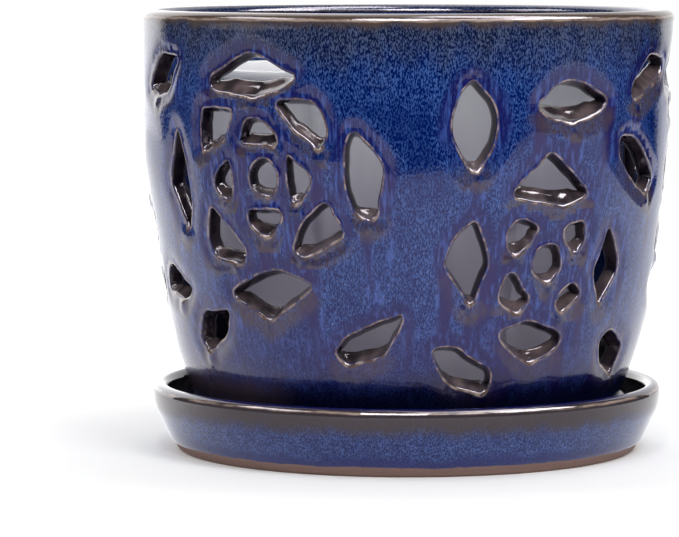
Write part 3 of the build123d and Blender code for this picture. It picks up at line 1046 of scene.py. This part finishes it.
# %% The pot's glaze
POT_WAVE = (160, (1, 1, 0.5))
FAR_RAGGED, RUN_RAGGED, GREY_RAGGED = 1.6, 0.4, 0.02
HALO_FAR, HALO_SIDE, HALO_SMOOTH, HALO_MIX = (4.8, 1.6), (-0.7, -0.1), 0.75, 0.45
RUN_SMOOTH, RUN_RANGE, RUN_MIX, BESIDE_RUN = (0.2, 0.7), (0.2, 0.8), 0.85, (0.1, 0.25, 0.35, 0.6)
CALM_HEIGHT, CALM_LOW = (0.11, 0.1), 0.25
CALM_BAND, CALM_HIGH, CALM_FAR = (0.076, 0.086, 0.1, 0.112), 0.3, (3.5, 7.0)
GREY_HEIGHT = (0.108, 0.128)
STREAK, STREAK_RANGE, THREAD_MIX = (900, (1, 1, 0.12), 2.0), (0.48, 0.7), 0.6

pot_glaze, shader, place, axes = new_material("pot_glaze")
height = axes["Z"]
ragged = minus(noise(place, *POT_WAVE), 0.5)
far = shifted(attribute("slot_distance"), ragged, FAR_RAGGED)
side = attribute("slot_side")
run = shifted(attribute("glaze_run"), ragged, RUN_RAGGED)
halo = times(ramp(far, *HALO_FAR), ramp(side, *HALO_SIDE))
calm = plus(times(ramp(height, *CALM_HEIGHT), CALM_LOW), times(band(height, *CALM_BAND), CALM_HIGH))
smooth = larger(times(halo, HALO_SMOOTH), ramp(run, *RUN_SMOOTH), times(calm, ramp(far, *CALM_FAR)))
grey = ramp(shifted(height, ragged, GREY_RAGGED), *GREY_HEIGHT)
colour, many = cobalt(place, smooth, grey)
threads = times(ramp(noise(place, *STREAK), *STREAK_RANGE), larger(band(run, *BESIDE_RUN), halo))
colour = mixed(times(ramp(run, *RUN_RANGE), RUN_MIX), colour, STREAM)
colour = mixed(times(halo, HALO_MIX), colour, STREAM)
colour = mixed(times(threads, THREAD_MIX), colour, THREAD)
print("nodes for the deep glaze:", len(bench[-1].nodes))

# %% Thin glaze under the slots, and beads
UNDER_FAR, UNDER_SIDE, UNDER_BEAD = (5.8, 2.6), (-0.42, -0.93), (1.0, 0.5)
SPOTS, SPOT_RANGE, SPOT_MIX, LEAST_MIX = (700, (1, 1, 0.7)), (0.85, 0.1), 0.5, 0.36
BEAD_RANGE, BEAD_MIX = (0.4, 0.9), 0.6

bead = attribute("bead")
under = times(ramp(far, *UNDER_FAR), ramp(side, *UNDER_SIDE), ramp(bead, *UNDER_BEAD))
spots = plus(times(ramp(noise(place, *SPOTS), *SPOT_RANGE), SPOT_MIX), LEAST_MIX)
colour = mixed(times(under, spots), colour, THIN)
colour = mixed(times(ramp(bead, *BEAD_RANGE), BEAD_MIX), colour, BEAD_BLUE)

# %% Rim and foot
RIM_HEIGHT, LIP_REACH, LIP_HEIGHT = (0.1255, 0.1287), (0.0756, 0.0766), (0.1299, 0.1302)
RIM_LINE, RIM_GAPS, RIM_REACH = (0.1279, 0.12835, 0.1286, 0.12885), (0.2, 0.56), (0.0775, 0.078)
RIM_RAGGED, RIM_LINE_RAGGED, RIM_LINE_SCALE = 0.005, 0.0012, 150
FOOT_RANGE, FOOT_RAGGED, FOOT_SHADE_MIX, LOW_RANGE, LOW_MIX = (0.031, 0.021), 0.008, 0.85, (0.05, 0.028), 0.42
BROWN_SCALE, BROWN_SHARE, BROWN_LEFT, BROWN_RANGE = 13, 0.4, 8.0, (0.42, 0.56)

reach = reach_of(axes)
rim = ramp(shifted(height, ragged, RIM_RAGGED), *RIM_HEIGHT)
on_lip = larger(ramp(reach, *LIP_REACH), ramp(height, *LIP_HEIGHT))
colour = mixed(times(rim, on_lip), colour, THIN)
rim_line = times(band(shifted(height, ragged, RIM_LINE_RAGGED), *RIM_LINE),
                 ramp(noise(place, RIM_LINE_SCALE), *RIM_GAPS))
colour = mixed(times(rim_line, ramp(reach, *RIM_REACH)), colour, BREAK)
colour = mixed(times(ramp(height, *LOW_RANGE), LOW_MIX), colour, STREAM)
# Painted shade: the foot of the pot, between its wall and the saucer's lip, is laid near black, browner
# towards the left
browner = minus(times(noise(place, BROWN_SCALE), BROWN_SHARE), times(axes["X"], BROWN_LEFT))
shaded_foot = mixed(ramp(browner, *BROWN_RANGE), FOOT_SHADE_DARK, FOOT_SHADE_BROWN)
foot = ramp(shifted(height, ragged, FOOT_RAGGED), *FOOT_RANGE)
colour = mixed(times(foot, FOOT_SHADE_MIX), colour, shaded_foot)

# %% Cut edges, cut faces and the inside
EDGE_BAND, WORN_RANGE, TAN_RANGE = (0.05, 0.16, 0.2, 0.36), (0.36, 0.56), (0.42, 0.62)
WORN_SCALE, WORN_MIX, LEAST_WORN, TAN_SCALE = 300, 0.85, 0.1, 380
PATCHES, PATCH_RANGE, SHEEN_LOW_SIDE = (180, (1, 1, 0.6), 1.0), (0.3, 0.75), (-0.25, -0.8)
CUT_RANGE, INNER_RANGE, INNER_HEIGHT, INNER_SMOOTH = (0.25, 0.45), (0.96, 1.0), (0.03, 0.05), 0.2
BUMP, POT_GLOSS = {"Strength": 0.05, "Distance": 0.0003}, {"Roughness": 0.035, "IOR": 1.5}

depth = attribute("cut_depth")
worn = plus(times(ramp(noise(place, WORN_SCALE), *WORN_RANGE), WORN_MIX), LEAST_WORN)
tint = mixed(ramp(noise(place, TAN_SCALE), *TAN_RANGE), TAN, BREAK)
colour = mixed(times(band(depth, *EDGE_BAND), worn), colour, tint)
patches = ramp(noise(place, *PATCHES), *PATCH_RANGE)
# Painted shade on the upright cut faces, and a painted reflection on the low faces that look up
shaded_upright, sheen_low_face = mixed(patches, CUT_SHADE_BLACK, CUT_SHADE_DARK), mixed(patches, CUT_SHEEN_BROWN, CUT_SHEEN_MAUVE)
colour = mixed(ramp(depth, *CUT_RANGE), colour, mixed(ramp(side, *SHEEN_LOW_SIDE), shaded_upright, sheen_low_face))
inner_face = times(ramp(depth, *INNER_RANGE), ramp(height, *INNER_HEIGHT))
colour = mixed(inner_face, colour, cobalt(place, INNER_SMOOTH, 0.0)[0])
bump = feed(node("ShaderNodeBump").node, {**BUMP, "Height": many})
feed(shader, {**POT_GLOSS, "Base Color": colour, "Specular Tint": GLOSS_TINT, "Normal": bump.outputs[0]})
print("nodes for the whole glaze:", len(bench[-1].nodes))

# %% The saucer's glaze and clay
SAUCER_WAVE, SAUCER_SMOOTH, SAUCER_GREY = (110, (1, 1, 0.6)), 0.1, 0.15
UP_RAGGED, SAUCER_LINE_RAGGED, GLAZE_END_RAGGED, SAUCER_LINE_SCALE = 0.006, 0.0008, 0.0012, 120
ROLL_RANGE, ROLL_MIX = (0.0068, 0.004), 0.7
THIN_RANGE, THIN_MIX = (0.0105, 0.0155), 0.92
INSIDE_LIP, INSIDE_REACH = (0.0192, 0.0199), (0.0752, 0.074)
SAUCER_LINE, SAUCER_GAPS, SAUCER_REACH = (0.0183, 0.0188, 0.0190, 0.0193), (0.3, 0.7), (0.0745, 0.075)
GLAZE_LINE = 0.0028
LINE_RANGE = (GLAZE_LINE + 0.0002, GLAZE_LINE - 0.0001)
GLOSSY, MATT = 0.04, 0.85

saucer_glaze, shader, place, axes = new_material("saucer_glaze")
height = axes["Z"]
ragged = minus(noise(place, *SAUCER_WAVE), 0.5)
up = shifted(height, ragged, UP_RAGGED)
colour = cobalt(place, SAUCER_SMOOTH, SAUCER_GREY)[0]
colour = mixed(times(ramp(up, *ROLL_RANGE), ROLL_MIX), colour, FOOT_BLUE)
colour = mixed(times(ramp(up, *THIN_RANGE), THIN_MIX), colour, SAUCER_THIN)
reach = reach_of(axes)
colour = mixed(times(ramp(height, *INSIDE_LIP), ramp(reach, *INSIDE_REACH)), colour, LIP_BLUE)
lip_line = times(band(shifted(height, ragged, SAUCER_LINE_RAGGED), *SAUCER_LINE),
                 ramp(noise(place, SAUCER_LINE_SCALE), *SAUCER_GAPS))
colour = mixed(times(lip_line, ramp(reach, *SAUCER_REACH)), colour, BREAK)
foot = shifted(height, ragged, GLAZE_END_RAGGED)
feed(shader, {"Base Color": mixed(ramp(foot, *LINE_RANGE), colour, CLAY),
              "Roughness": mapped(foot, *LINE_RANGE, GLOSSY, MATT), "Specular Tint": GLOSS_TINT})
print("nodes for the saucer:", len(bench[-1].nodes))

# %% The growing pot's plastic
CUP_CLOUD, CUP_CLOUD_SHARE, CUP_SHADE = (60, (1, 1, 0.4)), 0.02, (0.072, 0.118)

cup_plastic, shader, place, axes = new_material("liner_plastic")
# Painted shade: the plastic is pale at the top and painted darker lower down, where less light reaches it
level = shifted(axes["Z"], noise(place, *CUP_CLOUD), CUP_CLOUD_SHARE)
feed(shader, {"Base Color": mixed(ramp(level, *CUP_SHADE), PLASTIC_SHADED, PLASTIC_LIT), "Roughness": 0.55,
              "Subsurface Weight": 1.0, "Subsurface Radius": (1.0, 1.0, 1.0), "Subsurface Scale": 0.005})
print("nodes for the plastic:", len(bench[-1].nodes))

# %% [markdown]
# ## Dress the frame
# Each piece takes its material, rides on the body of the solid that it stands for, and hides that
# solid. Its own box has to stay inside the solids' box.

# %% Put the pieces in place
SAUCER_COLUMNS = 240
CUP_COLUMNS = 360
SHARP = math.radians(35)


def dressed(piece, body, node_name, material):
    piece.data.materials.clear()
    piece.data.materials.append(material)
    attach(piece, body)
    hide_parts(node_name)


turned_tree = turning_tree(saucer_glaze)
saucer = grown("drip_saucer", section_mesh("saucer_section", saucer_section), turned_tree,
               {"Columns": SAUCER_COLUMNS})
cup_solid = grown("growing_pot_blank", section_mesh("cup_section", cup_section), turned_tree,
                  {"Columns": CUP_COLUMNS, "Wobble": 0.0, "First Rib": RIB_START})
drilled = grown("growing_pot_drilled", drill(*SIDE_HOLE),
                cutting_tree("drain_holes", cup_plastic, cup_solid),
                {"Count": 6, "First Azimuth": math.tau / 12 + RIB_START})
cup = grown("growing_pot", drill(*MIDDLE_HOLE), cutting_tree("middle_hole", cup_plastic, drilled),
            {"Count": 1})
for used in (cup_solid, drilled):
    bpy.data.objects.remove(used)
cup.data.set_sharp_from_angle(angle=SHARP)
dressed(pot, "pot", "pot", pot_glaze)
dressed(saucer, "saucer", "saucer", saucer_glaze)
dressed(cup, "liner", "inner_liner", cup_plastic)

# %% [markdown]
# ## The studio
# The photograph was taken on white paper in a darker room. In front of the pot's axis the paper
# covers the whole table, and its front edge is what the glossy wall shows: below it the glaze mirrors
# white paper and looks hazy, above it the glaze mirrors the dark room and looks deep. Behind the axis
# lies a narrower, brighter sheet, and a backdrop stands there, brighter at the left. They show as pale
# bands at both sides of the wall. Lamps follow at the end.

# %% Paper and its own light
PAPER_LEFT, PAPER_RIGHT, PAPER_FRONT, PAPER_BACK = -0.75, 0.5, -0.45, 1.2
TABLE_SIDE, TABLE_BACK = 1.3, 0.0
SEEN_LIGHT, BEHIND_LIGHT = (0.1, 0.34, 0.05, 0.5), (-0.08, 0.02, 0, 0.16)
MIRRORED_GAIN, MIRRORED_RIGHT = 6.0, (0.0, 0.1, 0.8, 0.42)

paper, shader, place, axes = new_material("paper")
path = node("ShaderNodeLightPath").node.outputs
behind = mapped(axes["Y"], *BEHIND_LIGHT)
seen = times(plus(mapped(length_of(place), *SEEN_LIGHT), behind),
             larger(path["Is Camera Ray"], path["Is Transmission Ray"]))
mirrored = times(path["Is Glossy Ray"], times(behind, MIRRORED_GAIN), mapped(axes["X"], *MIRRORED_RIGHT))
feed(shader, {"Base Color": (0.9, 0.9, 0.9, 1), "Roughness": 0.9, "Specular IOR Level": 0.1,
              "Emission Color": (1, 1, 1, 1), "Emission Strength": plus(seen, mirrored)})


def plane(name, corners, material):
    mesh = bpy.data.meshes.new(name)
    mesh.from_pydata(corners, [], [tuple(range(len(corners)))])
    mesh.materials.append(material)
    made = placed(name, mesh)


plane("paper_floor", [(-TABLE_SIDE, PAPER_FRONT, 0), (TABLE_SIDE, PAPER_FRONT, 0),
                      (TABLE_SIDE, TABLE_BACK, 0), (PAPER_RIGHT, TABLE_BACK, 0),
                      (PAPER_RIGHT, PAPER_BACK, 0), (PAPER_LEFT, PAPER_BACK, 0),
                      (PAPER_LEFT, TABLE_BACK, 0), (-TABLE_SIDE, TABLE_BACK, 0)], paper)

# %% The world
ROOM = 0.004
SIDES = 0.15
SIDE_RANGE = (0.8, 1.0)
BACKDROP_ENDS = (-1.2, 0.78)
BACKDROP_LIGHT = (-0.1, 0.1, 2.4, 1.15)
SKY_LIGHT = (0.0, 0.9, 0.2, 1.1)

world = bpy.data.worlds.new("studio")
bpy.context.scene.world = world
world.use_nodes = True
bench.append(world.node_tree)
path = node("ShaderNodeLightPath").node.outputs
axes = axes_of(node("ShaderNodeTexCoord").node.outputs["Generated"])
sideways = divided(axes["X"], larger(axes["Y"], 0.001))
behind = times(math_node("GREATER_THAN", sideways, BACKDROP_ENDS[0]),
               math_node("LESS_THAN", sideways, BACKDROP_ENDS[1]), math_node("GREATER_THAN", axes["Y"], 0.0))
sides = mapped(math_node("ABSOLUTE", axes["X"]), *SIDE_RANGE, ROOM, SIDES)
room = larger(times(behind, mapped(sideways, *BACKDROP_LIGHT)), sides)
white = larger(path["Is Camera Ray"], path["Is Transmission Ray"])
soft = times(path["Is Diffuse Ray"], mapped(axes["Z"], *SKY_LIGHT))
feed(world.node_tree.nodes["Background"], {
    "Strength": larger(times(path["Is Glossy Ray"], room), white, soft), "Color": (1, 1, 1, 1)})
print("nodes for the world:", len(bench[-1].nodes))

# %% [markdown]
# ## Lamps
# The main box lights the pot and shows in the glaze. The small lamp in front gives light and a soft
# shadow, but has no mirror image. The cards and the overhead box are seen only in the glaze, where
# they make the sparks on beads and cut edges.

# %% Lamps
LOOK_AT = Vector((0, 0, 0.07))


def soft_box(name, azimuth, elevation, distance, size, brightness, diffuse=True, glossy=True):
    """
    A lamp that looks at the pot. Its brightness is what a mirror would show, where white paper is 1.
    Without diffuse it gives no light and is only mirrored, and without glossy it has no mirror image.
    """
    turn, rise = math.radians(azimuth), math.radians(elevation)
    away = Vector((math.sin(turn) * math.cos(rise), -math.cos(turn) * math.cos(rise), math.sin(rise)))
    lamp = bpy.data.lights.new(name, "AREA")
    lamp.shape = "RECTANGLE"
    lamp.size, lamp.size_y = size
    lamp.energy = brightness * math.pi * size[0] * size[1]
    made = placed(name, lamp)
    made.location = LOOK_AT + distance * away
    made.rotation_euler = away.to_track_quat("Z", "Y").to_euler()
    made.visible_camera = False
    made.visible_diffuse, made.visible_glossy = diffuse, glossy


soft_box("small_lamp", -6, 47, 1.3, (0.08, 0.08), 90, glossy=False)
soft_box("main_box", 30, 48, 1.2, (0.42, 0.34), 9.5)
soft_box("front_card", -6, 47, 1.1, (0.5, 0.4), 30, diffuse=False)
soft_box("right_card", 74, 45, 1.1, (0.7, 0.34), 24, diffuse=False)
soft_box("left_card", -78, 45, 1.1, (0.6, 0.3), 12, diffuse=False)
soft_box("overhead_box", 80, 70, 1.2, (0.5, 0.7), 16, diffuse=False)

# %% [markdown]
# ## The camera
# A fit of the rims of pot and saucer gave the camera: 1.13 metres in front of the pot's axis, a
# little above the rim, looking down by five degrees, with a long lens.

# %% Camera
SENSOR, LENS = 36.0, 201.91
CAMERA_PLACE = (0, -1.12976, 0.15142)
LOOKS_DOWN, LOOKS_LEFT = 4.9745, 1.0087
camera_data = bpy.data.cameras.new("camera")
camera_data.sensor_width = SENSOR
camera_data.lens = LENS
camera = placed("camera", camera_data)
camera.location = CAMERA_PLACE
camera.rotation_euler = (math.radians(90 - LOOKS_DOWN), 0, math.radians(LOOKS_LEFT))
bpy.context.scene.camera = camera
bpy.context.scene.view_settings.view_transform = "Standard"
print("camera at", CAMERA_PLACE, "with a lens of", LENS, "mm")
